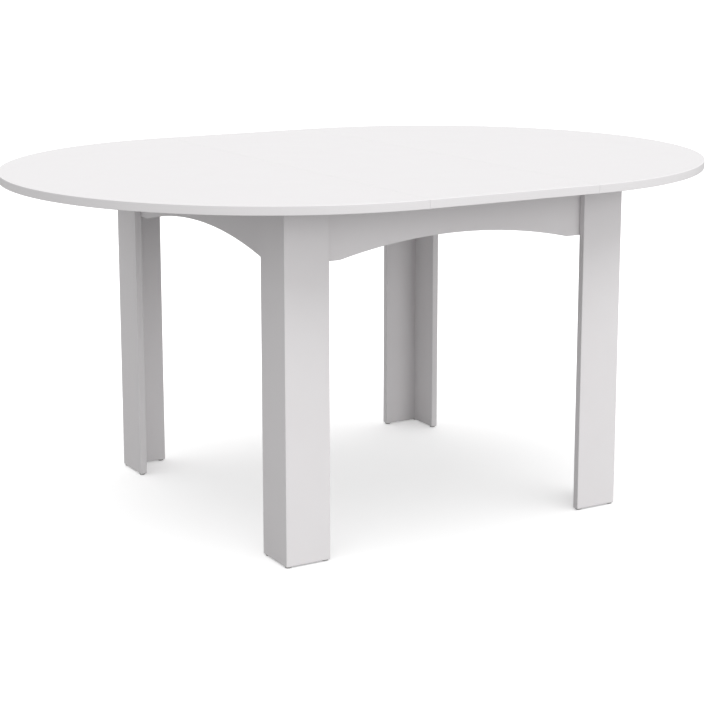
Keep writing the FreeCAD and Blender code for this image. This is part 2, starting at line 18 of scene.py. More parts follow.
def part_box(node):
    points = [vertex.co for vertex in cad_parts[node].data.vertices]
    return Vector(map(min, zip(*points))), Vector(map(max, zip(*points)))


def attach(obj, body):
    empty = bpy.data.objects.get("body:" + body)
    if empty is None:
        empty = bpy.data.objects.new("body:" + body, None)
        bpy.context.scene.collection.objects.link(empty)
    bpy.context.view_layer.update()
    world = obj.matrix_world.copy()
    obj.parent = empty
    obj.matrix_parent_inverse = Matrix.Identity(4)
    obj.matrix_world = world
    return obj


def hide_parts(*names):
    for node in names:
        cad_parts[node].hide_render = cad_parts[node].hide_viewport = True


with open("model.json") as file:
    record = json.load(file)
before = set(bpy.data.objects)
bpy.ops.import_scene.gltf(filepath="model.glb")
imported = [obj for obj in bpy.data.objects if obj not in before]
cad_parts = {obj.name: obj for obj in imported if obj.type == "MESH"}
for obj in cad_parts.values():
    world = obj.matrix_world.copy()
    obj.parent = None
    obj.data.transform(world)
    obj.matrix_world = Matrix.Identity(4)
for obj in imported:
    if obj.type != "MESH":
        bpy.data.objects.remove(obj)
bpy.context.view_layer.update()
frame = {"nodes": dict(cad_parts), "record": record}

print("parts in the frame:", len(frame["nodes"]))

# %% [markdown]
# ## Sizes
# The frame already holds the size and place of every part, so almost every length is read from it.  Only
# what a box can't tell is written here: how soft the arrises are, how thick a band is, and how an apron's
# arch runs.

# %% Sizes of the tops
mm = 0.001

leaf_low, leaf_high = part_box("leaf_panel")
seam_low, seam_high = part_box("right_top_seam_band")
rim_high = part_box("right_top_rim_band")[1]

underside = leaf_low.z
surface = leaf_high.z
end_radius = rim_high.y
rim_thickness = end_radius - leaf_high.y
end_middle = rim_high.x - end_radius
print("round ends of %.0f mm, %.0f mm thick" % (end_radius / mm, (surface - underside) / mm))

# %% Sizes of the base
back_board_low, back_board_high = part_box("back_right_leg_back_board")
apron_low, apron_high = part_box("back_apron")
side_apron_low, side_apron_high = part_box("right_apron")

leg_outer = back_board_high.y
leg_inner = back_board_low.y
leg_free = back_board_low.x
leg_foot = back_board_low.z
leg_top = back_board_high.z

ARCH_RISE = 32.5 * mm
SHOULDER = 33 * mm
arch_half = leg_free - SHOULDER
print("leg boards of %.0f mm" % ((leg_outer - leg_free) / mm))

# %% [markdown]
# ## A few small tools
# Every piece is made the same way: a bmesh is shaped, its faces are turned outwards, and edges that turn more
# than a set angle stay crisp while rounded arrises shade smoothly.  Weighted normals keep the big flat faces
# flat right up to their rounded arrises, which is what makes lacquered board look like board.

# %% Tools for edges
CRISP = math.radians(35)


def crisp_edges(bm):
    """The edges where two faces meet at a real corner."""
    return [edge for edge in bm.edges if edge.is_manifold and edge.calc_face_angle() > CRISP]


def round_arrises(bm, edges, radius, segments=4):
    """Gives edges the radius that a cutter, a die or a sanding block leaves."""
    bmesh.ops.bevel(bm, geom=edges, offset=radius, segments=segments, profile=0.5, affect="EDGES",
                    material=-1, clamp_overlap=True)


print("edges that turn more than %.0f degrees stay crisp" % math.degrees(CRISP))


# %% Tools for shapes
def block(low, high):
    """A box between two corners."""
    middle = (Vector(low) + Vector(high)) / 2
    size = Vector(high) - Vector(low)
    bm = bmesh.new()
    bmesh.ops.create_cube(bm, size=1, matrix=Matrix.Translation(middle) @ Matrix.Diagonal((*size, 1)))
    return bm


def thickened(bm, rise):
    """Extrudes a flat face along rise, which closes it to a solid."""
    extruded = bmesh.ops.extrude_face_region(bm, geom=bm.faces)
    moved = [item for item in extruded["geom"] if isinstance(item, bmesh.types.BMVert)]
    bmesh.ops.translate(bm, vec=rise, verts=moved)
    bmesh.ops.recalc_face_normals(bm, faces=bm.faces)


def arc_end(bm, start, middle, axis, angle, steps):
    """Spins a point round an arc and returns the arc's last point."""
    arc = bmesh.ops.spin(bm, geom=[start], cent=middle, axis=axis, angle=angle, steps=steps,
                         use_duplicate=False)
    return next(item for item in arc["geom_last"] if isinstance(item, bmesh.types.BMVert))


# %% Tools for copies
def flipped(bm, x=False, y=False):
    """The same shape mirrored in the table's middle, with its faces still outwards."""
    scale = (-1 if x else 1, -1 if y else 1, 1)
    bmesh.ops.scale(bm, vec=scale, verts=bm.verts)
    bmesh.ops.recalc_face_normals(bm, faces=bm.faces)
    return bm


def turned(bm, degrees):
    """The same shape turned round the table's middle."""
    turn = Matrix.Rotation(math.radians(degrees), 3, "Z")
    bmesh.ops.rotate(bm, verts=bm.verts, cent=(0, 0, 0), matrix=turn)
    return bm


def with_mirror_image(bm, axis):
    """The shape and its mirror image on the other side of the table's middle."""
    bmesh.ops.mirror(bm, geom=bm.verts[:] + bm.edges[:] + bm.faces[:], matrix=Matrix.Identity(4), axis=axis,
                     merge_dist=0)
    return bm


# %% From a shape to a finished piece
def finished(name, bm, body, slot, material, *nodes):
    """Makes a bmesh a piece that rides on a body and stands for its CAD parts."""
    open_edges = sum(not edge.is_manifold for edge in bm.edges)
    bmesh.ops.recalc_face_normals(bm, faces=bm.faces)
    for face in bm.faces:
        face.smooth = True
    for edge in crisp_edges(bm):
        edge.smooth = False
    mesh = bpy.data.meshes.new(name)
    bm.to_mesh(mesh)
    bm.free()
    mesh.materials.append(material)
    piece = bpy.data.objects.new(name, mesh)
    bpy.context.scene.collection.objects.link(piece)
    even = piece.modifiers.new("even_normals", "WEIGHTED_NORMAL")
    even.keep_sharp = True
    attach(piece, body)
    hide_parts(*nodes)
    print("%-40s %6d faces, %d open edges" % (name, len(mesh.polygons), open_edges))
    return piece


# %% [markdown]
# ## Finishes
# Everything that shows is white, but it is three different whites.  The tops are particle board faced with
# melamine, which is pressed against a steel sheet and has a faint, even tooth.  The edge band is ABS plastic,
# a little glossier and smoother.  The legs and aprons are fibreboard with a sprayed white lacquer, and a
# sprayed film settles into a very shallow orange peel.

# %% Tools for materials
def linear(hex_colour):
    """Linear RGBA from an sRGB hex value such as "F0F0EE"."""
    channels = [int(hex_colour[place:place + 2], 16) / 255 for place in (0, 2, 4)]
    return tuple(c / 12.92 if c < 0.04045 else ((c + 0.055) / 1.055) ** 2.4 for c in channels) + (1.0,)


def add(material, kind, settings=None, links=None):
    """Adds a node, sets its values, and links its inputs from (node, output) pairs.

    The colour mixer has several sockets of one name, so a socket can be given by its number instead."""
    node = material.node_tree.nodes.new(kind)
    for name, value in (settings or {}).items():
        if isinstance(name, int) or name in node.inputs:
            node.inputs[name].default_value = value
        else:
            setattr(node, name, value)
    for name, (source, output) in (links or {}).items():
        material.node_tree.links.new(source.outputs[output], node.inputs[name])
    return node


def new_material(name):
    """An empty node material, and its node for Object coordinates."""
    material = bpy.data.materials.new(name)
    material.use_nodes = True
    material.node_tree.nodes.clear()
    place = add(material, "ShaderNodeTexCoord")
    return material, place


def per_metre(size_mm):
    """The scale that makes a noise pattern repeat about every size_mm."""
    return 1000 / size_mm


# The colour mixer's sockets for its factor, its two colours and its result.
FACTOR, COLOUR_A, COLOUR_B, MIXED = 0, 6, 7, 2
print("a 2 mm pattern has a scale of", per_metre(2))


# %% White melamine, lacquer and edge band
def white_melamine():
    """Melamine film pressed on particle board: satin, with a faint tooth.

    A real tooth is about 0.2 mm across, too fine to show, so it is drawn at 0.8 mm."""
    material, place = new_material("white_melamine_pressed_satin")
    tooth = add(material, "ShaderNodeTexNoise", {"Scale": per_metre(0.8), "Detail": 2.0, "Roughness": 0.5},
                {"Vector": (place, "Object")})
    clouds = add(material, "ShaderNodeTexNoise", {"Scale": per_metre(60), "Detail": 3.0, "Roughness": 0.6},
                 {"Vector": (place, "Object")})
    # The film's gloss varies a little from place to place, which stops a big white top looking painted on.
    gloss = add(material, "ShaderNodeMapRange",
                {"From Min": 0.3, "From Max": 0.7, "To Min": 0.36, "To Max": 0.44},
                {"Value": (clouds, "Fac")})
    tone = add(material, "ShaderNodeMix",
               {"data_type": "RGBA", COLOUR_A: linear("DCDADB"), COLOUR_B: linear("DFDDDE")},
               {FACTOR: (clouds, "Fac")})
    relief = add(material, "ShaderNodeBump", {"Strength": 0.12, "Distance": 0.02 * mm},
                 {"Height": (tooth, "Fac")})
    shader = add(material, "ShaderNodeBsdfPrincipled", {"IOR": 1.5},
                 {"Base Color": (tone, MIXED), "Roughness": (gloss, "Result"), "Normal": (relief, "Normal")})
    add(material, "ShaderNodeOutputMaterial", links={"Surface": (shader, "BSDF")})
    return material


def white_lacquer():
    """White lacquer sprayed on fibreboard: satin, with an orange peel of about 2.5 mm."""
    material, place = new_material("white_lacquer_sprayed_satin")
    peel = add(material, "ShaderNodeTexNoise", {"Scale": per_metre(2.5), "Detail": 1.0, "Roughness": 0.4},
               {"Vector": (place, "Object")})
    flow = add(material, "ShaderNodeTexNoise", {"Scale": per_metre(90), "Detail": 3.0, "Roughness": 0.55},
               {"Vector": (place, "Object")})
    gloss = add(material, "ShaderNodeMapRange",
                {"From Min": 0.3, "From Max": 0.7, "To Min": 0.40, "To Max": 0.48},
                {"Value": (flow, "Fac")})
    tone = add(material, "ShaderNodeMix",
               {"data_type": "RGBA", COLOUR_A: linear("E0DDDE"), COLOUR_B: linear("E3E1E2")},
               {FACTOR: (flow, "Fac")})
    relief = add(material, "ShaderNodeBump", {"Strength": 0.15, "Distance": 0.03 * mm},
                 {"Height": (peel, "Fac")})
    shader = add(material, "ShaderNodeBsdfPrincipled", {"IOR": 1.48},
                 {"Base Color": (tone, MIXED), "Roughness": (gloss, "Result"), "Normal": (relief, "Normal")})
    add(material, "ShaderNodeOutputMaterial", links={"Surface": (shader, "BSDF")})
    return material


def white_edge_band():
    """ABS edge band, extruded and buffed after trimming: smoother than the tops, with faint streaks."""
    material, place = new_material("white_abs_edge_band_extruded")
    squeeze = add(material, "ShaderNodeMapping", {"Scale": (1.0, 1.0, 60.0)}, {"Vector": (place, "Object")})
    streaks = add(material, "ShaderNodeTexNoise", {"Scale": per_metre(40), "Detail": 2.0},
                  {"Vector": (squeeze, "Vector")})
    gloss = add(material, "ShaderNodeMapRange",
                {"From Min": 0.3, "From Max": 0.7, "To Min": 0.30, "To Max": 0.38},
                {"Value": (streaks, "Fac")})
    relief = add(material, "ShaderNodeBump", {"Strength": 0.08, "Distance": 0.02 * mm},
                 {"Height": (streaks, "Fac")})
    shader = add(material, "ShaderNodeBsdfPrincipled", {"Base Color": linear("E2E0E1"), "IOR": 1.54},
                 {"Roughness": (gloss, "Result"), "Normal": (relief, "Normal")})
    add(material, "ShaderNodeOutputMaterial", links={"Surface": (shader, "BSDF")})
    return material


# %% [markdown]
# The fittings under the top are ordinary hardware: anodised aluminium rails, zinc-plated steel, nylon and
# beech.  They only show from below, but each still gets the marks of how it was made.

# %% Metals, nylon and beech
def anodised_aluminium():
    """Extruded and satin anodised: fine die lines run along the rail, which lies along X.

    Real die lines are a tenth of a millimetre apart; they are drawn 1 mm apart so that they show."""
    material, place = new_material("anodised_aluminium_extruded")
    squeeze = add(material, "ShaderNodeMapping", {"Scale": (0.01, 1.0, 1.0)}, {"Vector": (place, "Object")})
    lines = add(material, "ShaderNodeTexNoise", {"Scale": per_metre(1.0), "Detail": 3.0},
                {"Vector": (squeeze, "Vector")})
    gloss = add(material, "ShaderNodeMapRange", {"To Min": 0.28, "To Max": 0.42}, {"Value": (lines, "Fac")})
    relief = add(material, "ShaderNodeBump", {"Strength": 0.1, "Distance": 0.02 * mm},
                 {"Height": (lines, "Fac")})
    shader = add(material, "ShaderNodeBsdfPrincipled", {"Base Color": linear("C9CBCD"), "Metallic": 1.0},
                 {"Roughness": (gloss, "Result"), "Normal": (relief, "Normal")})
    add(material, "ShaderNodeOutputMaterial", links={"Surface": (shader, "BSDF")})
    return material


def zinc_plate(name, colour, spangle_mm):
    """Bright zinc plate on pressed or turned steel, slightly cloudy."""
    material, place = new_material(name)
    clouds = add(material, "ShaderNodeTexNoise", {"Scale": per_metre(spangle_mm), "Detail": 3.0},
                 {"Vector": (place, "Object")})
    gloss = add(material, "ShaderNodeMapRange",
                {"From Min": 0.3, "From Max": 0.7, "To Min": 0.22, "To Max": 0.40},
                {"Value": (clouds, "Fac")})
    shader = add(material, "ShaderNodeBsdfPrincipled", {"Base Color": linear(colour), "Metallic": 1.0},
                 {"Roughness": (gloss, "Result")})
    add(material, "ShaderNodeOutputMaterial", links={"Surface": (shader, "BSDF")})
    return material


def moulded_nylon(name, colour):
    """Injection-moulded nylon: a matt surface from a sparked mould.

    Its grain is really about 0.05 mm, and is drawn at 0.4 mm so that it shows."""
    material, place = new_material(name)
    grain = add(material, "ShaderNodeTexNoise", {"Scale": per_metre(0.4), "Detail": 2.0},
                {"Vector": (place, "Object")})
    relief = add(material, "ShaderNodeBump", {"Strength": 0.2, "Distance": 0.02 * mm},
                 {"Height": (grain, "Fac")})
    shader = add(material, "ShaderNodeBsdfPrincipled",
                 {"Base Color": linear(colour), "Roughness": 0.5, "IOR": 1.53},
                 {"Normal": (relief, "Normal")})
    add(material, "ShaderNodeOutputMaterial", links={"Surface": (shader, "BSDF")})
    return material


def planed_beech():
    """Planed beech with its grain along X: short dark flecks in a pale, pinkish ground."""
    material, place = new_material("beech_planed")
    along = add(material, "ShaderNodeMapping", {"Scale": (0.06, 1.0, 1.0)}, {"Vector": (place, "Object")})
    rings = add(material, "ShaderNodeTexNoise", {"Scale": per_metre(4), "Detail": 4.0, "Distortion": 0.6},
                {"Vector": (along, "Vector")})
    flecks = add(material, "ShaderNodeTexVoronoi", {"Scale": per_metre(1.6)}, {"Vector": (along, "Vector")})
    ground = add(material, "ShaderNodeValToRGB", links={"Fac": (rings, "Fac")})
    ground.color_ramp.elements[0].color = linear("C79E72")
    ground.color_ramp.elements[1].color = linear("DDBE97")
    dots = add(material, "ShaderNodeMapRange",
               {"From Min": 0.0, "From Max": 0.25, "To Min": 0.35, "To Max": 0.0},
               {"Value": (flecks, "Distance")})
    tone = add(material, "ShaderNodeMix", {"data_type": "RGBA", COLOUR_B: linear("9A6E48")},
               {FACTOR: (dots, "Result"), COLOUR_A: (ground, "Color")})
    relief = add(material, "ShaderNodeBump", {"Strength": 0.2, "Distance": 0.05 * mm},
                 {"Height": (rings, "Fac")})
    shader = add(material, "ShaderNodeBsdfPrincipled", {"Roughness": 0.6, "IOR": 1.5},
                 {"Base Color": (tone, MIXED), "Normal": (relief, "Normal")})
    add(material, "ShaderNodeOutputMaterial", links={"Surface": (shader, "BSDF")})
    return material


# %% Make the finishes
finishes = {
    "white_tabletop_board": white_melamine(),
    "white_edge_band": white_edge_band(),
    "white_base_board": white_lacquer(),
    "rail_aluminium": anodised_aluminium(),
    "bracket_steel": zinc_plate("zinc_plated_steel_pressed", "C4C6C8", 12),
    "fastener_steel": zinc_plate("zinc_plated_steel_turned", "B9BCBF", 3),
    "white_nylon": moulded_nylon("white_nylon_moulded", "E0E0DA"),
    "grey_nylon": moulded_nylon("grey_nylon_moulded", "A6A6A4"),
    "beech": planed_beech(),
}
slots = {part["node"]: part["material_slot"] for part in frame["record"]["subparts"]}
for node, cad_part in frame["nodes"].items():
    finish = finishes[slots[node]]
    cad_part.data.materials.clear()
    cad_part.data.materials.append(finish)
print("finishes:", len(finishes))

# %% [markdown]
# ## Half tops
# Each half top is a D-shaped board.  An arc of points is spun round the middle of the round end, closed with a
# straight seam, filled and extruded to the board's thickness.  The edge band is a separate strip, as on the
# real table: its section is a small rectangle whose two outer corners are rounded by the trimming cutter, and
# that section is spun through half a turn.

# %% Half top panels
ARC_STEPS = 160
PANEL_ARRIS = 0.15 * mm


def half_top_panel():
    """The right panel: an arc round the end's middle, cut off straight at the seam."""
    radius = end_radius - rim_thickness
    reach = math.acos((seam_high.x - end_middle) / radius)
    bm = bmesh.new()
    first = bm.verts.new((seam_high.x, -radius * math.sin(reach), underside))
    last = arc_end(bm, first, (end_middle, 0, underside), (0, 0, 1), 2 * reach, ARC_STEPS)
    bm.edges.new((last, first))
    bmesh.ops.contextual_create(bm, geom=bm.edges)
    thickened(bm, (0, 0, surface - underside))
    round_arrises(bm, crisp_edges(bm), PANEL_ARRIS, segments=1)
    return bm


melamine = finishes["white_tabletop_board"]
finished("right_half_top", half_top_panel(), "right_half", "white_tabletop_board", melamine, "right_top_panel")
finished("left_half_top", turned(half_top_panel(), 180), "left_half", "white_tabletop_board", melamine,
         "left_top_panel")

# %% Rim bands and seam bands of the half tops
BAND_ROUNDING = 1.2 * mm
BAND_ARRIS = 0.3 * mm


def rim_band():
    """The right rim band: its section is spun from seam to seam."""
    bm = bmesh.new()
    reach = math.acos((seam_high.x - end_middle) / end_radius)
    inside, outside = end_middle + end_radius - rim_thickness, end_middle + end_radius
    section = [bm.verts.new((x, 0, z)) for x, z in ((inside, underside), (outside, underside),
                                                    (outside, surface), (inside, surface))]
    bm.faces.new(section)
    bmesh.ops.bevel(bm, geom=section[1:3], offset=BAND_ROUNDING, segments=4, profile=0.5, affect="VERTICES",
                    material=-1)
    bmesh.ops.rotate(bm, verts=bm.verts, cent=(end_middle, 0, 0), matrix=Matrix.Rotation(-reach, 3, "Z"))
    bmesh.ops.delete(bm, geom=bm.faces, context="FACES_ONLY")
    bmesh.ops.spin(bm, geom=bm.verts[:] + bm.edges[:], cent=(end_middle, 0, 0), axis=(0, 0, 1), angle=2 * reach,
                   steps=ARC_STEPS, use_duplicate=False)
    bmesh.ops.holes_fill(bm, edges=[edge for edge in bm.edges if edge.is_boundary])
    return bm


def seam_band(low, high):
    """A straight band, eased all round its upper face."""
    bm = block(low, high)
    upper = [edge for edge in bm.edges if all(vert.co.z > surface - mm for vert in edge.verts)]
    round_arrises(bm, upper, BAND_ARRIS, segments=2)
    return bm


plastic = finishes["white_edge_band"]
finished("right_half_top_rim_band", rim_band(), "right_half", "white_edge_band", plastic, "right_top_rim_band")
finished("left_half_top_rim_band", turned(rim_band(), 180), "left_half", "white_edge_band", plastic,
         "left_top_rim_band")
finished("right_half_top_seam_band", seam_band(seam_low, seam_high), "right_half", "white_edge_band", plastic,
         "right_top_seam_band")
finished("left_half_top_seam_band", turned(seam_band(seam_low, seam_high), 180), "left_half", "white_edge_band",
         plastic, "left_top_seam_band")

# %% [markdown]
# ## Leaf
# The leaf is a plain board with the same bands: thick rounded ones on its two ends, which carry on the rim of
# the half tops, and thin ones along its seams.

# %% Leaf panel and bands
def leaf_board():
    """The leaf's panel, like the half tops' panels."""
    bm = block(leaf_low, leaf_high)
    round_arrises(bm, crisp_edges(bm), PANEL_ARRIS, segments=1)
    return bm


def leaf_rim_bands():
    """The band on the back end, rounded like the rim, and its mirror image on the front end."""
    bm = block((leaf_low.x, leaf_high.y, underside), (leaf_high.x, end_radius, surface))
    outer = [edge for edge in bm.edges if all(vert.co.y > end_radius - mm / 2 for vert in edge.verts)
             and abs(edge.verts[0].co.x - edge.verts[1].co.x) > mm]
    round_arrises(bm, outer, BAND_ROUNDING)
    return with_mirror_image(bm, "Y")


def leaf_seam_bands():
    """The band on the right side and its mirror image on the left."""
    low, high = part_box("leaf_seam_bands")
    return with_mirror_image(seam_band((leaf_high.x, low.y, underside), (high.x, high.y, surface)), "X")


finished("leaf_board", leaf_board(), "leaf", "white_tabletop_board", melamine, "leaf_panel")
finished("leaf_end_bands", leaf_rim_bands(), "leaf", "white_edge_band", plastic, "leaf_rim_bands")
finished("leaf_side_bands", leaf_seam_bands(), "leaf", "white_edge_band", plastic, "leaf_seam_bands")

# %% [markdown]
# ## Legs
# A leg is an upright L of two boards whose meeting edges are mitred, so no joint shows on its faces.  The
# whole L is extruded and all its arrises are rounded first.  Then the mitre plane cuts it in two, once for
# each board, so the rounded outer corner runs on from one board to the other without a step.  Inside the
# corner each board keeps a small chamfer on its mitre, which shows as a fine dark line where the two boards
# meet.

# %% Leg boards
LEG_ROUNDING = 1.5 * mm
JOINT_LINE = 0.8 * mm
ON_THE_CUT = 0.01 * mm
inside_corner = Vector((leg_inner, leg_inner))


def whole_leg():
    """The back right leg in one piece."""
    outline = [(leg_free, leg_outer), (leg_outer, leg_outer), (leg_outer, leg_free),
               (leg_inner, leg_free), (leg_inner, leg_inner), (leg_free, leg_inner)]
    bm = bmesh.new()
    bm.faces.new([bm.verts.new((x, y, leg_foot)) for x, y in outline])
    thickened(bm, (0, 0, leg_top - leg_foot))
    outside = [edge for edge in crisp_edges(bm)
               if any((vert.co.xy - inside_corner).length > mm for vert in edge.verts)]
    round_arrises(bm, outside, LEG_ROUNDING)
    return bm


def leg_board(side):
    """One board of the back right leg: side is 1 for the board along X, -1 for the board along Y."""
    bm = whole_leg()
    cut = bmesh.ops.bisect_plane(bm, geom=bm.verts[:] + bm.edges[:] + bm.faces[:], dist=ON_THE_CUT,
                                 plane_co=(0, 0, 0), plane_no=(side, -side, 0), clear_outer=True)
    edges = [item for item in cut["geom_cut"] if isinstance(item, bmesh.types.BMEdge)]
    bmesh.ops.contextual_create(bm, geom=edges)
    inner = [edge for edge in bm.edges
             if all((vert.co.xy - inside_corner).length < ON_THE_CUT for vert in edge.verts)]
    bmesh.ops.bevel(bm, geom=inner, offset=JOINT_LINE, segments=1, profile=0.5, affect="EDGES", material=-1)
    return bm


lacquer = finishes["white_base_board"]
for end, y in (("back", False), ("front", True)):
    for hand, x in (("right", False), ("left", True)):
        leg = end + "_" + hand + "_leg_"
        finished("lacquered_" + leg + end + "_board", flipped(leg_board(1), x, y), "base", "white_base_board",
                 lacquer, leg + end + "_board")
        finished("lacquered_" + leg + "side_board", flipped(leg_board(-1), x, y), "base", "white_base_board",
                 lacquer, leg + "side_board")

# %% [markdown]
# ## Aprons
# Each apron's lower edge is level beside the legs and rises between them in one long arc.  The arc's radius
# follows from its width and its rise.  Its points are spun, the rest of the outline joins them up, and every
# arris is eased a little, because lacquer doesn't hold on a sharp edge.

# %% Apron boards
APRON_ARRIS = 0.8 * mm
ARCH_STEPS = 72


def apron_along_x(half_length, low_y, high_y):
    """An apron that runs along X, between two planes of Y."""
    foot = apron_low.z
    radius = (arch_half ** 2 + ARCH_RISE ** 2) / (2 * ARCH_RISE)
    middle = (0, low_y, foot + ARCH_RISE - radius)
    sweep = 2 * math.asin(arch_half / radius)
    bm = bmesh.new()
    start = bm.verts.new((arch_half, low_y, foot))
    end = arc_end(bm, start, middle, (0, -1, 0), sweep, ARCH_STEPS)
    rest = [bm.verts.new((x, low_y, z)) for x, z in ((-half_length, foot), (-half_length, apron_high.z),
                                                     (half_length, apron_high.z), (half_length, foot))]
    for first, second in zip([end] + rest, rest + [start]):
        bm.edges.new((first, second))
    bmesh.ops.contextual_create(bm, geom=bm.edges)
    thickened(bm, (0, high_y - low_y, 0))
    round_arrises(bm, crisp_edges(bm), APRON_ARRIS, segments=3)
    return bm


for node, flip in (("back_apron", False), ("front_apron", True)):
    board = flipped(apron_along_x(apron_high.x, apron_low.y, apron_high.y), y=flip)
    finished("lacquered_" + node, board, "base", "white_base_board", lacquer, node)
for node, flip in (("right_apron", False), ("left_apron", True)):
    board = turned(apron_along_x(side_apron_high.y, side_apron_low.x, side_apron_high.x), -90)
    finished("lacquered_" + node, flipped(board, x=flip), "base", "white_base_board", lacquer, node)

# %% [markdown]
# ## Floor glides
# Three grey nylon buttons are nailed under each leg.  One is turned as a lathe would turn it, by spinning half
# its section, and it is set under each place.

# %% Floor glides
GLIDE_RADIUS = 7 * mm
GLIDE_EASE = 1 * mm
GLIDE_INSET = 9 * mm
NAIL_RADIUS = 1.25 * mm
NAIL_LENGTH = 14 * mm
GLIDE_STEPS = 32
SAME_POINT = 0.01 * mm


def floor_glide(bm, x, y):
    """One glide, its half section spun round the nail."""
    profile = [(0, 0), (GLIDE_RADIUS - GLIDE_EASE, 0), (GLIDE_RADIUS - 0.3 * GLIDE_EASE, 0.3 * GLIDE_EASE),
               (GLIDE_RADIUS, GLIDE_EASE), (GLIDE_RADIUS, leg_foot), (NAIL_RADIUS, leg_foot),
               (NAIL_RADIUS, leg_foot + NAIL_LENGTH), (0, leg_foot + NAIL_LENGTH)]
    verts = [bm.verts.new((x + r, y, z)) for r, z in profile]
    edges = [bm.edges.new(pair) for pair in zip(verts, verts[1:])]
    bmesh.ops.spin(bm, geom=verts + edges, cent=(x, y, 0), axis=(0, 0, 1), angle=2 * math.pi, steps=GLIDE_STEPS,
                   use_merge=True, use_duplicate=False)


def floor_glides():
    """Three glides under each leg: one in the corner and one near the end of each board."""
    bm = bmesh.new()
    middle = (leg_outer + leg_inner) / 2
    end = leg_free + GLIDE_INSET
    for place_x, place_y in ((middle, middle), (end, middle), (middle, end)):
        for x, y in ((1, 1), (1, -1), (-1, 1), (-1, -1)):
            floor_glide(bm, x * place_x, y * place_y)
    bmesh.ops.remove_doubles(bm, verts=bm.verts, dist=SAME_POINT)
    return bm


finished("nylon_floor_glides", floor_glides(), "base", "grey_nylon", finishes["grey_nylon"], "floor_glides")

# %% [markdown]
# ## Fittings under the top
# The fittings are made to stock shapes, so the design's own parts already have the right form, down to the
# screw holes.  Copies of them are taken, their doubled points are merged and their flat triangles joined
# into whole faces.  Then the long edges get the small rounding of their trade: 0.5 mm on extruded
# aluminium, 1.5 mm on planed beech, a little less on moulded nylon.  The rims of the holes stay as they
# were drilled.

# %% Rounding the design's own parts
DOUBLED_POINT = 0.001 * mm
FLAT = math.radians(0.5)
LONG_ARRIS = 2 * mm


def copied(node):
    """A clean bmesh of a CAD part: no doubled points, and one face for each flat side."""
    bm = bmesh.new()
    bm.from_mesh(frame["nodes"][node].data)
    bmesh.ops.remove_doubles(bm, verts=bm.verts, dist=DOUBLED_POINT)
    bmesh.ops.dissolve_limit(bm, angle_limit=FLAT, verts=bm.verts, edges=bm.edges)
    return bm


def arrises(bm, shortest):
    """The crisp edges longer than shortest; the rim of a screw hole is made of much shorter ones."""
    return [edge for edge in crisp_edges(bm) if edge.calc_length() > shortest]


def softened(node, radius, segments=3):
    """A copy of a CAD part with its long arrises rounded."""
    bm = copied(node)
    round_arrises(bm, arrises(bm, LONG_ARRIS), radius, segments)
    return bm


rail_copy = copied("back_guide_rail")
print("a rail's points: %d as designed, %d when merged"
      % (len(frame["nodes"]["back_guide_rail"].data.vertices), len(rail_copy.verts)))
rail_copy.free()


# %% [markdown]
# The brackets and braces are pressed from steel strip.  Strip can't be folded to a sharp corner: it bends
# round the tool with a small radius inside, and a radius larger by the strip's thickness outside.  Each
# fold is found as the long hollow edge of the angle, and the ridge that runs behind it.  The end bracket of
# a rail has no ridge there, because its lug is welded to the middle of its plate, so its hollow edges
# become two small weld fillets.

# %% Finding the folds of pressed steel
INNER_BEND = 1.0 * mm
PRESSED_ARRIS = 0.35 * mm
SHORT_ARRIS = 0.5 * mm
SLIVER = 0.005 * mm


def edge_line(edge):
    """An edge's middle and its direction."""
    start, end = (vert.co for vert in edge.verts)
    return (start + end) / 2, (end - start).normalized()


def hollow_edges(bm, thickness):
    """The long edges inside the folds."""
    return [edge for edge in arrises(bm, 4 * thickness) if edge.calc_face_angle_signed() < 0]


def runs_behind(edge, folds, reach):
    """True for a ridge that runs along a fold, within reach of it."""
    middle, along = edge_line(edge)
    return edge.calc_face_angle_signed() > 0 and any(
        abs(along.dot(line)) > 0.99 and (middle - place).cross(line).length < reach for place, line in folds)


# %% Folding pressed steel
def folded(node, thickness):
    """A copy of a CAD angle with round bends, and with its other arrises eased."""
    bm = copied(node)
    folds = [edge_line(edge) for edge in hollow_edges(bm, thickness)]
    # A ridge lies behind its fold by the strip's thickness times the square root of two, which is under 1.6.
    ridges = [edge for edge in arrises(bm, LONG_ARRIS) if runs_behind(edge, folds, 1.6 * thickness)]
    round_arrises(bm, ridges, INNER_BEND + thickness, segments=6)
    round_arrises(bm, hollow_edges(bm, thickness), INNER_BEND, segments=4)
    round_arrises(bm, arrises(bm, SHORT_ARRIS), PRESSED_ARRIS, segments=2)
    bmesh.ops.dissolve_degenerate(bm, dist=SLIVER, edges=bm.edges)
    return bm


# %% Brackets and braces
BRACE_STRIP = 2.5 * mm
BRACKET_STRIP = 3.0 * mm
steel = finishes["bracket_steel"]

for corner in ("back_left", "back_right", "front_left", "front_right"):
    for fitting, strip in ((corner + "_corner_brace", BRACE_STRIP),
                           (corner + "_rail_end_bracket", BRACKET_STRIP)):
        finished("pressed_" + fitting, folded(fitting, strip), "base", "bracket_steel", steel, fitting)
for hand in ("left", "right"):
    fitting = hand + "_slide_brackets"
    finished("pressed_" + fitting, folded(fitting, BRACKET_STRIP), hand + "_half", "bracket_steel", steel,
             fitting)

# %% [markdown]
# The rails and the slide bars are sawn from extruded lengths, so their edges have the die's small radii.  The
# shoes that glide in the rails are moulded nylon.  The cleats under the leaf are planed beech, with arrises
# taken off by a hand plane.

# %% Rails, slide bars, shoes and cleats
RAIL_ARRIS = 0.5 * mm
BAR_ARRIS = 1.0 * mm
SHOE_ARRIS = 0.4 * mm
CLEAT_ARRIS = 1.5 * mm
aluminium = finishes["rail_aluminium"]

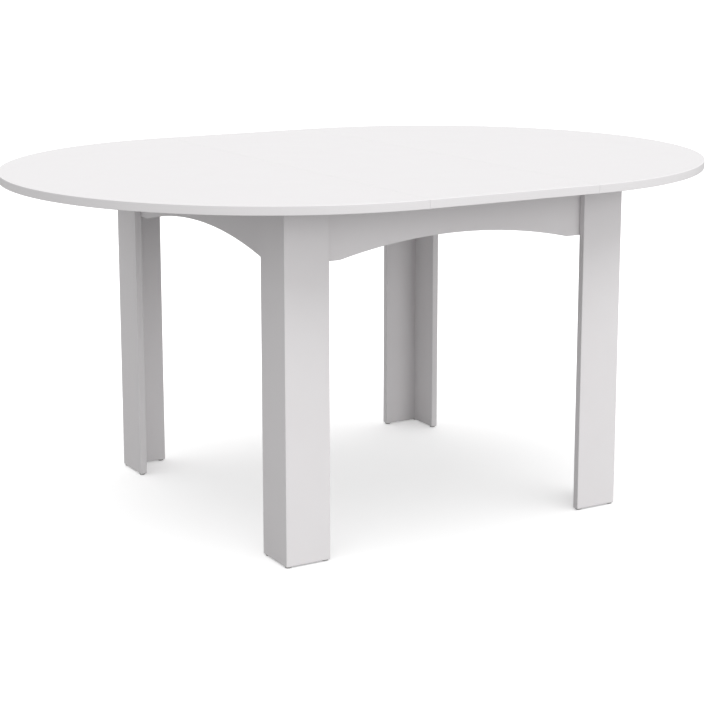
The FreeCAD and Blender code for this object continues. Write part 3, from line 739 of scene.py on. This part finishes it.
for end in ("back", "front"):
    rail = end + "_guide_rail"
    finished("extruded_" + rail, softened(rail, RAIL_ARRIS), "base", "rail_aluminium", aluminium, rail)
    cleat = "leaf_" + end + "_cleat"
    finished("planed_" + cleat, softened(cleat, CLEAT_ARRIS, 4), "leaf", "beech", finishes["beech"], cleat)
    for hand in ("left", "right"):
        bar = hand + "_" + end + "_slide_bar"
        finished("extruded_" + bar, softened(bar, BAR_ARRIS, 4), hand + "_half", "rail_aluminium", aluminium,
                 bar)
for hand in ("left", "right"):
    shoes = hand + "_slide_bar_shoes"
    finished("moulded_" + shoes, softened(shoes, SHOE_ARRIS), hand + "_half", "white_nylon",
             finishes["white_nylon"], shoes)

# %% [markdown]
# ## Studio
# The table stands on a wide white floor in even, soft light, as in a catalogue.  A white tent over the set
# gives most of the light.  A broad lamp high in front and another low in front make the fronts of the legs
# lighter than their sides.  A catalogue floor is whiter in the picture than in the room, so there are two
# floors here.  The one that is seen glows faintly and takes only the tent's shade.  The one that isn't seen
# throws back a grey floor's light, which keeps the inner sides of the legs and the underside of the top in
# their own shade.

# %% Floors
FLOOR_HALF = 80.0
FLOOR_GLOW = 0.345


def studio_floor(name, height, settings):
    """A wide flat sheet of matt paint that belongs to the studio, not to the table."""
    material, place = new_material(name + "_matt_paint")
    shader = add(material, "ShaderNodeBsdfPrincipled", {"Roughness": 0.9, "Specular IOR Level": 0.0} | settings)
    add(material, "ShaderNodeOutputMaterial", links={"Surface": (shader, "BSDF")})
    bm = bmesh.new()
    bmesh.ops.create_grid(bm, x_segments=1, y_segments=1, size=FLOOR_HALF,
                          matrix=Matrix.Translation((0, 0, height)))
    mesh = bpy.data.meshes.new(name)
    bm.to_mesh(mesh)
    bm.free()
    mesh.materials.append(material)
    floor = bpy.data.objects.new(name, mesh)
    bpy.context.scene.collection.objects.link(floor)
    return floor


seen_floor = studio_floor("studio_floor", 0, {"Base Color": linear("F2F2F2"), "Emission Color": (1, 1, 1, 1),
                                              "Emission Strength": FLOOR_GLOW})
seen_floor.visible_diffuse = False
seen_floor.visible_glossy = False
seen_floor.visible_shadow = False
grey_floor = studio_floor("studio_floor_bounce", -mm, {"Base Color": linear("B6B6B6")})
grey_floor.visible_camera = False
print("floors: %.0f m square" % (2 * FLOOR_HALF))

# %% [markdown]
# A lamp that is broad as well as far away would still lay a faint, displaced shadow on the floor, and in a
# tent the shade lies straight under the table.  So the two lamps that light the table leave the floors out,
# and a third lamp overhead lights the seen floor alone.  Blender calls this light linking.

# %% Lamps
def light_link(name, link_state, *floors):
    """A light-linking collection of floors: INCLUDE lights just them, EXCLUDE lights all but them."""
    collection = bpy.data.collections.new(name)
    for floor in floors:
        collection.objects.link(floor)
    for member in collection.collection_objects:
        member.light_linking.link_state = link_state
    return collection


def soft_lamp(name, irradiance, spread, towards, receivers):
    """A lamp so broad that its shadows have no edge."""
    data = bpy.data.lights.new(name, "SUN")
    data.energy = irradiance
    data.angle = math.radians(spread)
    lamp = bpy.data.objects.new(name, data)
    lamp.rotation_mode = "QUATERNION"
    lamp.rotation_quaternion = Vector(towards).to_track_quat("Z", "Y")
    lamp.light_linking.receiver_collection = receivers
    bpy.context.scene.collection.objects.link(lamp)


table_only = light_link("all_but_the_floors", "EXCLUDE", seen_floor, grey_floor)
seen_floor_only = light_link("the_seen_floor_alone", "INCLUDE", seen_floor)
soft_lamp("studio_key_lamp", 1.02, 32, (0.19, -0.54, 0.82), table_only)
soft_lamp("studio_front_lamp", 0.84, 40, (0.22, -0.97, 0.10), table_only)
soft_lamp("studio_floor_lamp", 1.22, 70, (0.0, -0.1, 1.0), seen_floor_only)

# %% Tent
TENT = 0.92

world = bpy.data.worlds.new("studio_tent")
world.use_nodes = True
tent = world.node_tree.nodes["Background"]
tent.inputs["Color"].default_value = (1.0, 1.0, 1.0, 1.0)
# Behind the table the tent is as white as the floor, so no horizon shows; as a light it is a little weaker.
ray = world.node_tree.nodes.new("ShaderNodeLightPath")
level = world.node_tree.nodes.new("ShaderNodeMapRange")
level.inputs["To Min"].default_value = TENT
level.inputs["To Max"].default_value = 1.0
world.node_tree.links.new(ray.outputs["Is Camera Ray"], level.inputs["Value"])
world.node_tree.links.new(level.outputs["Result"], tent.inputs["Strength"])
bpy.context.scene.world = world
bpy.context.scene.view_settings.view_transform = "Standard"
print("tent:", TENT)

# %% [markdown]
# ## Camera
# A long lens looks at the table from the front left and a little above, which keeps the legs almost upright
# and the oval of the top shallow.  A small downward shift of the lens frames the table without tipping the
# camera any further.

# %% Camera
CAMERA_AT = Vector((-1.9777, -3.3672, 1.2380))
CAMERA_AZIMUTH = math.radians(-30.424)
CAMERA_ELEVATION = math.radians(10.837)
CAMERA_LENS = 88.59
CAMERA_SHIFT = -0.12
SIGHT = 500.0

camera_data = bpy.data.cameras.new("camera")
camera_data.lens = CAMERA_LENS
camera_data.shift_y = CAMERA_SHIFT
camera_data.clip_end = SIGHT
camera = bpy.data.objects.new("camera", camera_data)
back = Vector((math.sin(CAMERA_AZIMUTH) * math.cos(CAMERA_ELEVATION),
               -math.cos(CAMERA_AZIMUTH) * math.cos(CAMERA_ELEVATION), math.sin(CAMERA_ELEVATION)))
camera.location = CAMERA_AT
camera.rotation_mode = "QUATERNION"
camera.rotation_quaternion = (-back).to_track_quat("-Z", "Y")
bpy.context.scene.collection.objects.link(camera)
bpy.context.scene.camera = camera
print("camera: %.1f m from the table's middle" % CAMERA_AT.length)
